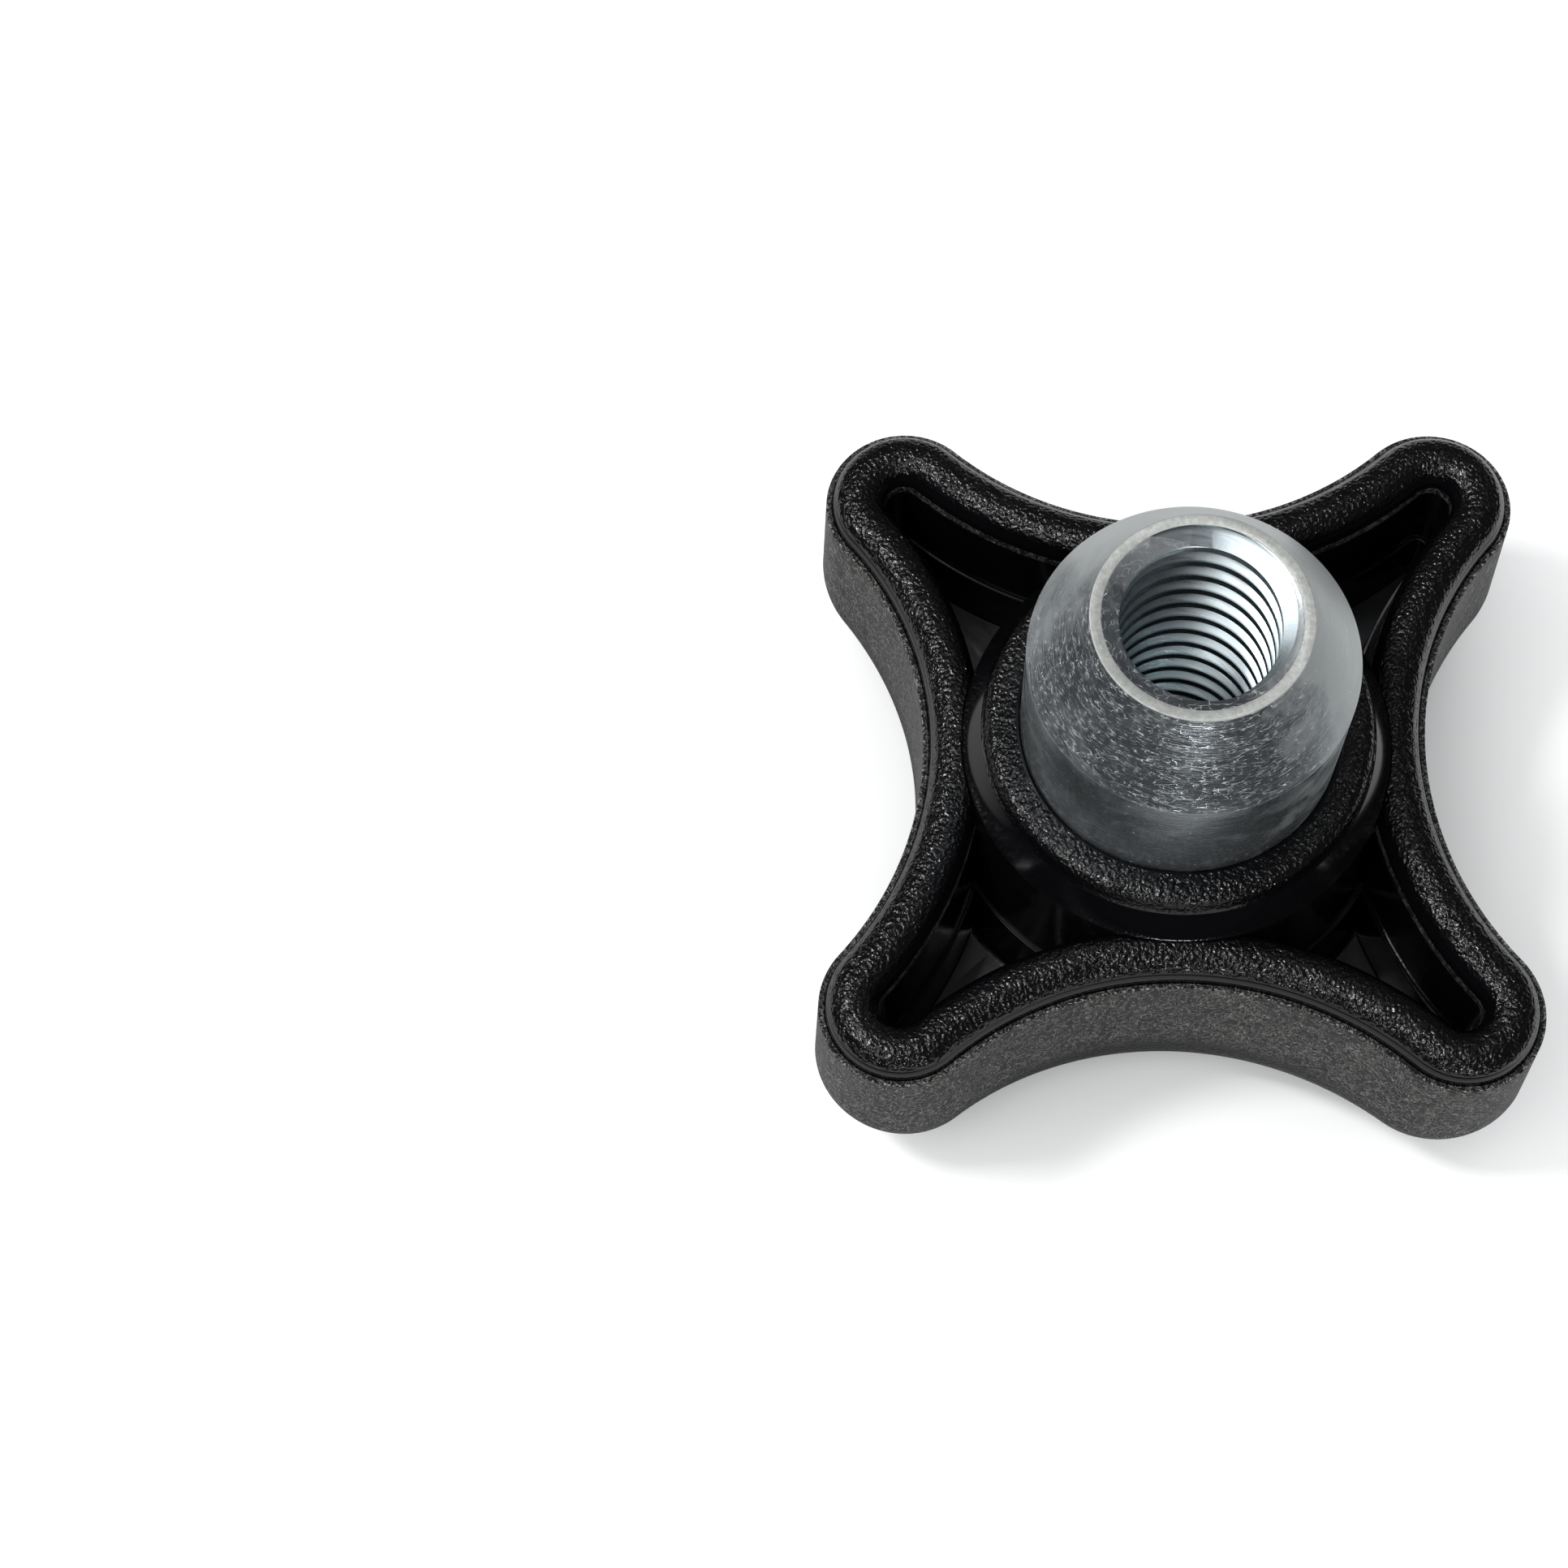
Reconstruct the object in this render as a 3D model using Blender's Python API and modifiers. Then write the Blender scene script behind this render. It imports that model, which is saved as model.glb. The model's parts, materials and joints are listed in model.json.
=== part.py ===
"""Four-lobe clamping knob nut: a moulded plastic head on a threaded steel bush.

The nut stands on its domed head with the bush pointing up, in metres.
The moulded head is hollow underneath, with a rounded rim, four lobe pockets and a round hub.
The steel bush has a conical nose, a blind threaded hole and a hidden hexagon that the head grips.
"""
import math

import bmesh
import bpy

MM = 0.001

# ---- thread, in millimetres ---------------------------------------------------------------------
THREAD_MAJOR = 12.7
THREAD_PITCH = 25.4 / 12
THREAD_HEIGHT = 1.2                         # of the thread form, from minor to major radius
THREAD_MINOR = THREAD_MAJOR - 2 * THREAD_HEIGHT
DRILL_RADIUS = THREAD_MINOR / 2 - 0.1       # the pilot hole lies just inside the crests
DRILL_POINT_ANGLE = 59.0                    # half angle of the drill point
SINK_RADIUS = THREAD_MAJOR / 2 + 0.03       # countersink at the end face
SINK_HALF_ANGLE = 60.0

# ---- steel bush ---------------------------------------------------------------------------------
BUSH_RADIUS = 10.75
BUSH_RISE = 22.3                            # end face above the parting line of the head
END_RING_WIDTH = 0.67                       # the flat ring round the countersink
NOSE_RADIUS = SINK_RADIUS + END_RING_WIDTH
NOSE_HALF_ANGLE = 30.0                      # a 60 degree seat
NECK_DEPTH = 1.75                           # hidden groove that stops the bush pulling out
NECK_RADIUS = BUSH_RADIUS - NECK_DEPTH
HEX_ACROSS = BUSH_RADIUS * math.sqrt(3)     # the hexagon's corners just reach the round of the bush
FIT_GAP = 0.3                               # clearance all round between the bush and the head

# ---- hub, sized round the bush ------------------------------------------------------------------
HUB_RISE = 5.3                              # hub top above the parting line
HUB_TOP_RADIUS = BUSH_RADIUS + 1.55         # flat ring ends here
HUB_ROUNDING = 0.8
HUB_EDGE_RADIUS = BUSH_RADIUS + 3.8         # foot of the sloping shoulder, level with the rim
HUB_EDGE_RISE = 1.9
HUB_STEP_RADIUS = HUB_EDGE_RADIUS + 0.75    # hub at the pocket step
HUB_FOOT_RADIUS = HUB_STEP_RADIUS + 0.9     # hub at the pocket floor
HUB_ROOT = 1.5                              # how far the hub is buried under the pocket floor

# ---- head ---------------------------------------------------------------------------------------
HEAD_SPAN = 63.9                            # across two opposite lobe tips
LOBE_TIP_RADIUS = 5.55                      # round end of each lobe, at the parting line
WAIST_RADIUS = HUB_EDGE_RADIUS + 2.7        # bottom of each grip hollow, where the rim meets the hub
PARTING_HEIGHT = 18.8                       # from the top of the dome to the parting line
DOME_CROWN_RADIUS = 114.0                   # the slight roundness of the whole top
DOME_FLAT_RADIUS = 7.0                      # the middle of the dome is flat, so the nut stands still
SHOULDER_RADIUS = 5.0                       # rounding between the top and the side wall
WALL_FLARE = 0.45                           # how much further out the wall is at the shoulder

# ---- rim and pockets ----------------------------------------------------------------------------
LEDGE_WIDTH = 0.45                          # step in from the wall to the rim at the parting line
RIM_HALF_WIDTH = 1.85                       # the rim is a half round of this radius
STEP_DEPTH = 7.0                            # from the parting line to the step in the pocket wall
STEP_WIDTH = 0.25
POCKET_DEPTH = 12.0                         # from the parting line to the pocket floor
UPPER_WALL_SLOPE = 0.5                      # how far the pocket wall leans in above the step
LOWER_WALL_SLOPE = 0.3                      # and below the step

# ---- heights of the bush, which follow the head -------------------------------------------------
BUSH_HEIGHT = PARTING_HEIGHT + BUSH_RISE    # end face above the top of the dome
BUSH_SINK = 11.0                            # how far the bush reaches below the parting line
BUSH_BOTTOM = PARTING_HEIGHT - BUSH_SINK
NECK_TOP = PARTING_HEIGHT + HUB_RISE - 3.3
NECK_LENGTH = 3.5
HEX_TOP = NECK_TOP - NECK_LENGTH
DRILL_FLOOR = 5.3                           # steel left under the pilot hole
DRILL_BOTTOM = BUSH_BOTTOM + DRILL_FLOOR
THREAD_START = DRILL_BOTTOM + 2.0
OVERSHOOT = 1.0                             # how far a cutter or a joined piece runs past a face

# ---- fineness -----------------------------------------------------------------------------------
ARC_STEPS = 12              # steps in half a lobe end, and in half a grip hollow
ROUND_STEPS = 64            # steps round the turned shapes
THREAD_STEPS = 36           # steps in one turn of the thread


def clear_scene():
    for thing in list(bpy.data.objects):
        bpy.data.objects.remove(thing, do_unlink=True)


def new_collection(name):
    group = bpy.data.collections.new(name)
    bpy.context.scene.collection.children.link(group)
    return group


def plain_material(name, colour, roughness, metallic):
    material = bpy.data.materials.new(name)
    material.use_nodes = True
    shader = material.node_tree.nodes["Principled BSDF"]
    shader.inputs["Base Color"].default_value = (*colour, 1.0)
    shader.inputs["Roughness"].default_value = roughness
    shader.inputs["Metallic"].default_value = metallic
    return material


def object_from(name, bm, group):
    mesh = bpy.data.meshes.new(name)
    bm.to_mesh(mesh)
    bm.free()
    thing = bpy.data.objects.new(name, mesh)
    group.objects.link(thing)
    return thing


def bake_modifiers(thing):
    """Turn the object with its modifiers into a plain mesh."""
    graph = bpy.context.evaluated_depsgraph_get()
    mesh = bpy.data.meshes.new_from_object(thing.evaluated_get(graph))
    old = thing.data
    thing.modifiers.clear()
    thing.data = mesh
    bpy.data.meshes.remove(old)


def combine(thing, tool, operation):
    """Join, cut or cross one solid with another, then leave the tool among the cutters."""
    step = thing.modifiers.new(operation.title(), "BOOLEAN")
    step.operation = operation
    step.solver = "EXACT"
    step.object = tool
    bake_modifiers(thing)


def turned(name, profile, group, steps=ROUND_STEPS):
    """A turned solid: a profile of (radius, height) in millimetres spun round the upright axis."""
    bm = bmesh.new()
    verts = [bm.verts.new((radius * MM, 0.0, height * MM)) for radius, height in profile]
    for first, second in zip(verts, verts[1:]):
        bm.edges.new((first, second))
    mesh = bpy.data.meshes.new(name)
    bm.to_mesh(mesh)
    bm.free()
    thing = bpy.data.objects.new(name, mesh)
    group.objects.link(thing)
    spin = thing.modifiers.new("Spin", "SCREW")
    spin.steps = steps
    spin.render_steps = steps
    spin.use_merge_vertices = True
    spin.merge_threshold = 0.00001
    bake_modifiers(thing)
    bm = bmesh.new()
    bm.from_mesh(thing.data)
    bmesh.ops.remove_doubles(bm, verts=bm.verts, dist=0.00001)
    bmesh.ops.recalc_face_normals(bm, faces=bm.faces)
    bm.to_mesh(thing.data)
    bm.free()
    return thing


def head_outline(inset):
    """The four-lobe outline, moved inwards by inset from the wall at the parting line.

    Each lobe ends in an arc and each grip hollow is an arc, and they meet tangentially,
    so moving the outline inwards only changes the two radii.
    """
    up = (HEAD_SPAN / 2 - LOBE_TIP_RADIUS) * math.sqrt(0.5)
    # the hollow's centre is where a circle through the waist just touches the round lobe end
    inner = WAIST_RADIUS - LOBE_TIP_RADIUS
    valley_centre = (inner * inner - 2 * up * up) / (2 * (inner - up))
    across = valley_centre - up
    reach = math.hypot(across, up)
    tip_radius = LOBE_TIP_RADIUS - inset
    valley_radius = reach - LOBE_TIP_RADIUS + inset
    meeting = math.atan2(up, across)
    quarter = []
    for i in range(ARC_STEPS + 1):
        angle = math.pi - meeting * i / ARC_STEPS
        quarter.append((valley_centre + valley_radius * math.cos(angle), valley_radius * math.sin(angle)))
    for i in range(1, ARC_STEPS + 1):
        angle = -meeting + (meeting + math.pi / 4) * i / ARC_STEPS
        quarter.append((up + tip_radius * math.cos(angle), up + tip_radius * math.sin(angle)))
    # the quarter runs from the middle of a hollow to the middle of a lobe; mirror and turn it
    mirrored = [(y, x) for x, y in reversed(quarter[1:-1])]
    side = quarter + mirrored
    points = []
    for turn in range(4):
        cos_turn = round(math.cos(turn * math.pi / 2))
        sin_turn = round(math.sin(turn * math.pi / 2))
        points += [(x * cos_turn - y * sin_turn, x * sin_turn + y * cos_turn) for x, y in side]
    return points


def crown(x, y):
    """Height of the domed top above its middle, with the dome facing down."""
    beyond_flat = max(0.0, x * x + y * y - DOME_FLAT_RADIUS ** 2)
    return beyond_flat / (2 * DOME_CROWN_RADIUS)


def head_rings():
    """Rings of the head's skin, from the middle of the dome round the rim to the pocket floor."""
    rings = []
    top_edge = head_outline(SHOULDER_RADIUS - WALL_FLARE)
    for share in (0.2, 0.4, 0.6, 0.8):
        rings.append([(x * share, y * share, crown(x * share, y * share)) for x, y in top_edge])
    for degrees in (90, 75, 60, 45, 30, 15, 0):
        turn = math.radians(degrees)
        inset = SHOULDER_RADIUS * (1 - math.cos(turn)) - WALL_FLARE
        drop = SHOULDER_RADIUS * (1 - math.sin(turn))
        rings.append([(x, y, drop + crown(x, y)) for x, y in head_outline(inset)])
    rings.append([(x, y, PARTING_HEIGHT) for x, y in head_outline(0.0)])
    for degrees in (0, 22.5, 45, 67.5, 90, 112.5, 135, 157.5, 180):
        turn = math.radians(degrees)
        inset = LEDGE_WIDTH + RIM_HALF_WIDTH * (1 - math.cos(turn))
        rise = RIM_HALF_WIDTH * math.sin(turn)
        rings.append([(x, y, PARTING_HEIGHT + rise) for x, y in head_outline(inset)])
    inset = LEDGE_WIDTH + 2 * RIM_HALF_WIDTH
    pocket_wall = (
        (UPPER_WALL_SLOPE, STEP_DEPTH),
        (STEP_WIDTH, STEP_DEPTH),
        (LOWER_WALL_SLOPE, POCKET_DEPTH),
    )
    for extra, depth in pocket_wall:
        inset += extra
        rings.append([(x, y, PARTING_HEIGHT - depth) for x, y in head_outline(inset)])
    floor = rings[-1]
    rings.append([(x * 0.5, y * 0.5, z) for x, y, z in floor])
    return rings


def head_skin(name, group):
    bm = bmesh.new()
    rings = [[bm.verts.new((x * MM, y * MM, z * MM)) for x, y, z in ring] for ring in head_rings()]
    for lower, upper in zip(rings, rings[1:]):
        for i in range(len(lower)):
            j = (i + 1) % len(lower)
            bm.faces.new((lower[i], lower[j], upper[j], upper[i]))
    dome_middle = bm.verts.new((0.0, 0.0, 0.0))
    floor_middle = bm.verts.new((0.0, 0.0, (PARTING_HEIGHT - POCKET_DEPTH) * MM))
    for i in range(len(rings[0])):
        j = (i + 1) % len(rings[0])
        bm.faces.new((rings[0][j], rings[0][i], dome_middle))
        bm.faces.new((rings[-1][i], rings[-1][j], floor_middle))
    return object_from(name, bm, group)


def hexagon(name, across_flats, bottom, top, group):
    bm = bmesh.new()
    bmesh.ops.create_cone(bm, cap_ends=True, segments=6, radius1=across_flats / math.sqrt(3) * MM,
                          radius2=across_flats / math.sqrt(3) * MM, depth=(top - bottom) * MM)
    bmesh.ops.translate(bm, verts=bm.verts, vec=(0.0, 0.0, (top + bottom) / 2 * MM))
    return object_from(name, bm, group)


def hub_profile():
    parting = PARTING_HEIGHT
    top = parting + HUB_RISE
    lean = (HUB_FOOT_RADIUS - HUB_STEP_RADIUS - STEP_WIDTH) / (POCKET_DEPTH - STEP_DEPTH)
    profile = [(0.0, top), (HUB_TOP_RADIUS, top)]
    for degrees in (30, 60):
        turn = math.radians(degrees)
        profile.append((HUB_TOP_RADIUS + HUB_ROUNDING * math.sin(turn),
                        top - HUB_ROUNDING * (1 - math.cos(turn))))
    profile += [
        (HUB_TOP_RADIUS + HUB_ROUNDING + 0.05, top - HUB_ROUNDING - 0.3),
        (HUB_EDGE_RADIUS, parting + HUB_EDGE_RISE),
        (HUB_STEP_RADIUS, parting - STEP_DEPTH),
        (HUB_STEP_RADIUS + STEP_WIDTH, parting - STEP_DEPTH),
        (HUB_FOOT_RADIUS + HUB_ROOT * lean, parting - POCKET_DEPTH - HUB_ROOT),
        (0.0, parting - POCKET_DEPTH - HUB_ROOT),
    ]
    return profile


def make_head(group, cutters):
    head = head_skin("knob_head", group)
    combine(head, turned("hub", hub_profile(), cutters), "UNION")
    top = PARTING_HEIGHT + HUB_RISE
    socket = turned("bush_socket", [
        (0.0, top + OVERSHOOT),
        (BUSH_RADIUS + FIT_GAP, top + OVERSHOOT),
        (BUSH_RADIUS + FIT_GAP, NECK_TOP - FIT_GAP),
        (NECK_RADIUS + FIT_GAP, NECK_TOP - FIT_GAP),
        (NECK_RADIUS + FIT_GAP, HEX_TOP - OVERSHOOT),
        (0.0, HEX_TOP - OVERSHOOT),
    ], cutters)
    flats = hexagon("hexagon_socket", HEX_ACROSS + 2 * FIT_GAP,
                    BUSH_BOTTOM - FIT_GAP, HEX_TOP + FIT_GAP, cutters)
    combine(head, socket, "DIFFERENCE")
    combine(head, flats, "DIFFERENCE")
    head.data.materials.clear()
    head.data.materials.append(plain_material("black_plastic", (0.012, 0.012, 0.013), 0.5, 0.0))
    return head


def tap_solid(name, group):
    """The tapped hole as a solid: one pitch of the thread form screwed down the hole, then capped."""
    minor = THREAD_MINOR / 2
    major = THREAD_MAJOR / 2
    pitch = THREAD_PITCH
    # the form as (radius, share of the pitch): crest, flank, root, flank
    form = [(minor, 0.0), (minor, 0.2), (major, 0.5), (major, 0.62), (minor, 0.92)]
    start = THREAD_START
    turns = math.ceil((BUSH_HEIGHT - start) / pitch)
    bm = bmesh.new()
    rows = []
    for i in range(turns * THREAD_STEPS + 1):
        angle = 2 * math.pi * i / THREAD_STEPS
        lift = start + pitch * i / THREAD_STEPS
        ring = [(r * math.cos(angle), r * math.sin(angle), lift + h * pitch) for r, h in form]
        rows.append([bm.verts.new((x * MM, y * MM, z * MM)) for x, y, z in ring])
    for here, there in zip(rows, rows[1:]):
        for k in range(len(form) - 1):
            bm.faces.new((here[k], there[k], there[k + 1], here[k + 1]))
    # the top of one turn runs on into the bottom of the next
    for i in range(len(rows) - THREAD_STEPS - 1):
        bm.faces.new((rows[i][-1], rows[i + 1][-1], rows[i + 1 + THREAD_STEPS][0], rows[i + THREAD_STEPS][0]))
    low = bm.verts.new((0.0, 0.0, (start - 0.3) * MM))
    high = bm.verts.new((0.0, 0.0, (start + (turns + 1.5) * pitch) * MM))
    for i in range(THREAD_STEPS):
        bm.faces.new((rows[i + 1][0], rows[i][0], low))
    last = len(rows) - 1 - THREAD_STEPS
    for i in range(last, len(rows) - 1):
        bm.faces.new((rows[i][-1], rows[i + 1][-1], high))
    first_step = rows[THREAD_STEPS][0]
    for a, b in zip(rows[0], rows[0][1:] + [first_step]):
        bm.faces.new((a, b, low))
    for a, b in zip([rows[last][-1]] + rows[-1], rows[-1]):
        bm.faces.new((a, b, high))
    return object_from(name, bm, group)


def make_bush(group, cutters):
    nose_height = (BUSH_RADIUS - NOSE_RADIUS) / math.tan(math.radians(NOSE_HALF_ANGLE))
    bush = turned("threaded_bush", [
        (0.0, BUSH_HEIGHT),
        (NOSE_RADIUS, BUSH_HEIGHT),
        (BUSH_RADIUS, BUSH_HEIGHT - nose_height),
        (BUSH_RADIUS, NECK_TOP),
        (NECK_RADIUS, NECK_TOP),
        (NECK_RADIUS, BUSH_BOTTOM + OVERSHOOT),
        (0.0, BUSH_BOTTOM + OVERSHOOT),
    ], group)
    combine(bush, hexagon("hexagon", HEX_ACROSS, BUSH_BOTTOM, HEX_TOP, cutters), "UNION")
    drill_tip = DRILL_BOTTOM - DRILL_RADIUS / math.tan(math.radians(DRILL_POINT_ANGLE))
    sink_depth = (SINK_RADIUS - DRILL_RADIUS) / math.tan(math.radians(SINK_HALF_ANGLE))
    drill = turned("drill", [
        (0.0, BUSH_HEIGHT + OVERSHOOT),
        (SINK_RADIUS + OVERSHOOT * math.tan(math.radians(SINK_HALF_ANGLE)), BUSH_HEIGHT + OVERSHOOT),
        (SINK_RADIUS, BUSH_HEIGHT),
        (DRILL_RADIUS, BUSH_HEIGHT - sink_depth),
        (DRILL_RADIUS, DRILL_BOTTOM),
        (0.0, drill_tip),
    ], cutters)
    combine(bush, drill, "DIFFERENCE")
    combine(bush, tap_solid("tap", cutters), "DIFFERENCE")
    bush.data.materials.clear()
    bush.data.materials.append(plain_material("zinc_plated_steel", (0.62, 0.65, 0.67), 0.3, 1.0))
    return bush


clear_scene()
nut = new_collection("four_lobe_knob_nut")
tools = new_collection("cutters")
root = bpy.data.objects.new("nut_axis", None)
nut.objects.link(root)
for piece in (make_head(nut, tools), make_bush(nut, tools)):
    piece.parent = root
    piece.data.shade_smooth()
    piece.data.set_sharp_from_angle(angle=math.radians(35))
for tool in tools.objects:
    tool.hide_render = True
    tool.display_type = "WIRE"
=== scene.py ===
# %% [markdown]
# # A clamping knob nut with four lobes
#
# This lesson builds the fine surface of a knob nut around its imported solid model.
# The real nut is two pieces: a hollow head moulded in black glass-filled nylon, and a
# turned steel bush with a conical seat and a blind threaded hole, moulded into it.
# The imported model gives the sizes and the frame. Each piece here is made again, finer,
# in the same place, and stands for its coarse twin.

import json
import math

import bmesh
import bpy
from mathutils import Matrix, Vector

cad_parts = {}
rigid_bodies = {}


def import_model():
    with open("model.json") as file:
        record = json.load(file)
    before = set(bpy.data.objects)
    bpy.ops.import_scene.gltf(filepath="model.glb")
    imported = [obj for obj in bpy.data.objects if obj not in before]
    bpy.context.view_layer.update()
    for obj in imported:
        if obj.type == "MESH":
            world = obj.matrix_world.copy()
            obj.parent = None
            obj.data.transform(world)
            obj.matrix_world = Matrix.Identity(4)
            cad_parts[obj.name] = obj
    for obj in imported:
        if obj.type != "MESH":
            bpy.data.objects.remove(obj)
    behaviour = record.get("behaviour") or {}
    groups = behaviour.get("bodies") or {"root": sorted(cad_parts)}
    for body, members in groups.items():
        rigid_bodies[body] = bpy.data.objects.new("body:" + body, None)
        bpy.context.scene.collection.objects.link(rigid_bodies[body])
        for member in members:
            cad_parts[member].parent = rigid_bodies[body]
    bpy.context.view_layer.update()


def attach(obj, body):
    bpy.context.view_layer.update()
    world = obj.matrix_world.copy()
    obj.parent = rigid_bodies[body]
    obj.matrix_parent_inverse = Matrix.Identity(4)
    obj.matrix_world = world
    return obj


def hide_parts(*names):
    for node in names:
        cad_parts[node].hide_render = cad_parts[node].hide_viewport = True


for thing in list(bpy.data.objects):
    bpy.data.objects.remove(thing, do_unlink=True)
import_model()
MM = 0.001

# %% [markdown]
# ## Small helpers
#
# A node tree is easier to read when every node is one call. The helper below adds a node,
# sets its properties and fills or links its sockets. A second one turns the hex colours
# that people quote into the linear values that shaders expect.

# %% Node and colour helpers


def node(tree, kind, *sockets, **settings):
    """Add a node. Each socket is (name or number, value). A node as value means its first output."""
    made = tree.nodes.new(kind)
    for key, value in settings.items():
        setattr(made, key, value)
    for name, value in sockets:
        if isinstance(value, bpy.types.Node):
            value = value.outputs[0]
        if isinstance(value, bpy.types.NodeSocket):
            tree.links.new(value, made.inputs[name])
        else:
            made.inputs[name].default_value = value
    return made


def linear(hex_colour):
    """An sRGB hex colour such as 8FA3B0 as linear red, green, blue and alpha."""
    parts = [int(hex_colour[i:i + 2], 16) / 255 for i in (0, 2, 4)]
    return (*[c / 12.92 if c <= 0.04045 else ((c + 0.055) / 1.055) ** 2.4 for c in parts], 1.0)


def link_object(name, mesh):
    made = bpy.data.objects.new(name, mesh)
    bpy.context.scene.collection.objects.link(made)
    return made


# %% [markdown]
# ## The camera and the studio
#
# The nut stands on its dome with the bush pointing up. The camera looks down on it from in
# front at about 69 degrees, a little from the left, with a long lens, as a product
# photographer would work from a step above a table. The camera is placed by where it stands
# and how it is turned, so nothing has to be tracked or constrained.

# %% Camera
CAMERA_PLACE = (-18.40, -80.14, 219.52)     # millimetres
CAMERA_TURN = (21.114, 1.966, 1.122)        # degrees about X, Y and Z
CAMERA_LENS = 71.72                         # for a sensor 36 mm wide

camera = bpy.data.objects.new("camera", bpy.data.cameras.new("camera"))
bpy.context.scene.collection.objects.link(camera)
camera.location = [v * MM for v in CAMERA_PLACE]
camera.rotation_euler = [math.radians(v) for v in CAMERA_TURN]
camera.data.lens = CAMERA_LENS
camera.data.sensor_width = 36.0
camera.data.clip_start = 0.005
bpy.context.scene.camera = camera
print("camera stands", round(Vector(CAMERA_PLACE).length), "mm from the foot of the nut")

# %% [markdown]
# A pale sheet of card is the floor, wide enough to fill every view. Soft boxes are area
# lights: their size makes the highlights on plastic broad and soft, and the dark gaps
# between them are what gives the steel its contrast. Black plastic mirrors whatever is pale
# round it, so a studio hides its pale walls behind black flags. Here the flags are in the
# materials: in a reflection the card and the room are darker than they are to the eye, while
# the soft light they give to matt surfaces stays whole. The Standard view keeps the black as
# deep as it is.

# %% Floor
FLOOR_HALF = 1.5      # metres
floor_mesh = bpy.data.meshes.new("paper_floor")
bm = bmesh.new()
bmesh.ops.create_grid(bm, x_segments=2, y_segments=2, size=FLOOR_HALF)
bm.to_mesh(floor_mesh)
bm.free()
floor = link_object("paper_floor", floor_mesh)
paper = bpy.data.materials.new("matt_white_card")
paper.use_nodes = True
card = paper.node_tree
card_shader = card.nodes["Principled BSDF"]
card_shader.inputs["Base Color"].default_value = linear("F6F6F5")
card_shader.inputs["Roughness"].default_value = 0.9
place = node(card, "ShaderNodeTexCoord")
ray = node(card, "ShaderNodeLightPath")
# in gloss the card ends 70 to 100 mm from the nut, and is darker in front on the left
away = node(card, "ShaderNodeVectorMath", (0, place.outputs["Object"]), operation="LENGTH")
far = node(card, "ShaderNodeMapRange", ("Value", away.outputs["Value"]), ("From Min", 0.07),
           ("From Max", 0.10), ("To Min", 0.0), ("To Max", 0.6))
back_right = node(card, "ShaderNodeVectorMath", (0, place.outputs["Object"]), (1, (0.75, 0.65, 0.0)),
                  operation="DOT_PRODUCT")
front_left = node(card, "ShaderNodeMapRange", ("Value", back_right.outputs["Value"]), ("From Min", -0.02),
                  ("From Max", 0.06), ("To Min", 0.55), ("To Max", 0.28))
flag = node(card, "ShaderNodeMath", (0, far), (1, front_left), operation="ADD", use_clamp=True)
shaded = node(card, "ShaderNodeMath", (0, ray.outputs["Is Glossy Ray"]), (1, flag), operation="MULTIPLY")
black_card = node(card, "ShaderNodeEmission", ("Color", (0.0, 0.0, 0.0, 1.0)))
flagged = node(card, "ShaderNodeMixShader", ("Fac", shaded), (1, card_shader), (2, black_card))
card.links.new(flagged.outputs["Shader"], card.nodes["Material Output"].inputs["Surface"])
floor_mesh.materials.append(paper)

# %% Soft boxes and world
SOFT_BOXES = (
    # name, place mm, aimed at mm, width mm, depth mm, watts
    ("key_overhead_left", (-235, 10, 425), (0, 0, 20), 75, 75, 0.95),
    ("overhead_soft", (-130, -140, 440), (0, 0, 20), 280, 280, 0.60),
    ("left_middle", (-330, 140, 330), (0, 0, 20), 170, 170, 0.16),
    ("overhead_back", (120, 200, 420), (0, 0, 20), 120, 90, 0.06),
    ("front_low", (10, -420, 130), (0, 0, 20), 120, 60, 0.42),
)
for name, place, aim, width, depth, watts in SOFT_BOXES:
    lamp = bpy.data.lights.new(name, "AREA")
    lamp.shape = "RECTANGLE"
    lamp.size = width * MM
    lamp.size_y = depth * MM
    lamp.energy = watts
    box = bpy.data.objects.new(name, lamp)
    bpy.context.scene.collection.objects.link(box)
    box.location = [v * MM for v in place]
    box.rotation_euler = (Vector(aim) - Vector(place)).to_track_quat("-Z", "Y").to_euler()

world = bpy.data.worlds.new("pale_room")
bpy.context.scene.world = world
world.use_nodes = True
room = world.node_tree
room.nodes["Background"].inputs["Color"].default_value = linear("F2F4F6")
bpy.context.scene.view_settings.view_transform = "Standard"
seen = node(room, "ShaderNodeLightPath")
soft = node(room, "ShaderNodeMath", (0, seen.outputs["Is Camera Ray"]),
            (1, seen.outputs["Is Diffuse Ray"]), operation="MAXIMUM")
glow = node(room, "ShaderNodeMapRange", ("Value", soft), ("To Min", 0.05), ("To Max", 0.92))
room.links.new(glow.outputs["Result"], room.nodes["Background"].inputs["Strength"])
print(len(SOFT_BOXES), "soft boxes")

# %% [markdown]
# ## Shaping tools
#
# A turned piece is a profile of radius and height carried once round the axis, which is what
# a lathe does. It could be spun with a modifier, but writing the rings out keeps the seam
# closed without any merging. Solids are joined and cut with Boolean modifiers.

# %% Lathe and Boolean
TURNED_STEPS = 288


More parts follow.
